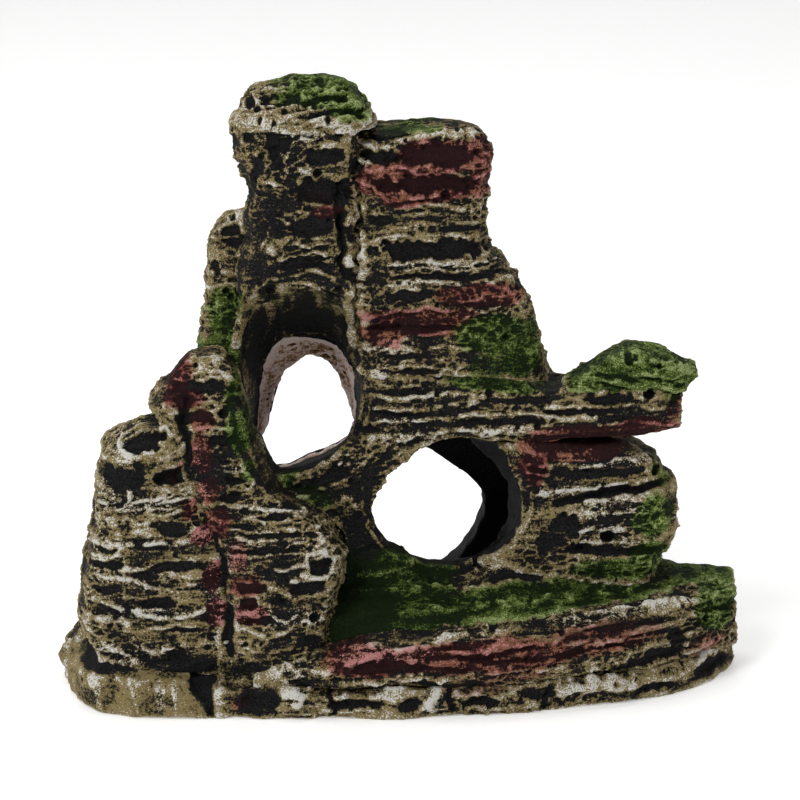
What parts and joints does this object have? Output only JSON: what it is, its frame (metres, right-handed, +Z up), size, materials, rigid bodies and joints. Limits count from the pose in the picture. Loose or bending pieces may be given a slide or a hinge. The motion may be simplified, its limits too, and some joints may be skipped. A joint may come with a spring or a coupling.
{
  "type": "aquarium cave ornament",
  "caption": "Craggy rock outcrop for a tank floor, with a tall stepped tower, a side ledge and swim-through caves at mid height and at the foot.",
  "frame": {"origin": "on the table, under the middle of the outcrop's bounding box", "axes": "+X to the right as seen from the front, -Y towards the viewer at the front, +Z up"},
  "size_m": [0.1318, 0.0618, 0.1163],
  "materials": {
    "tan_stone": "matte paint on cast resin, charcoal with a khaki and cream drybrush",
    "slate_stone": "matte paint on cast resin, charcoal with a thin pale drybrush",
    "brick_stone": "matte paint on cast resin, charcoal with a brick-red wash on the ridges",
    "moss_stone": "matte paint on cast resin, moss green over charcoal",
    "raw_stone": "matte paint on cast resin, pinkish brown over rough charcoal"
  },
  "bodies": {
    "root": {"corner_footing": "tan_stone", "outer_boulder": "tan_stone", "inner_boulder": "slate_stone", "far_left_rock": "slate_stone", "base_plate": "tan_stone", "front_ledge": "brick_stone", "mossy_terrace": "moss_stone", "right_pier": "slate_stone", "bridge_slab": "slate_stone", "bridge_knob": "moss_stone", "saddle_rock": "tan_stone", "left_shoulder": "tan_stone", "tower_left_column": "slate_stone", "tower_right_column": "brick_stone", "tower_cap": "moss_stone", "rear_window_rim": "raw_stone", "rear_tower_rock": "raw_stone", "rear_shell": "raw_stone"}
  },
  "joints": []
}
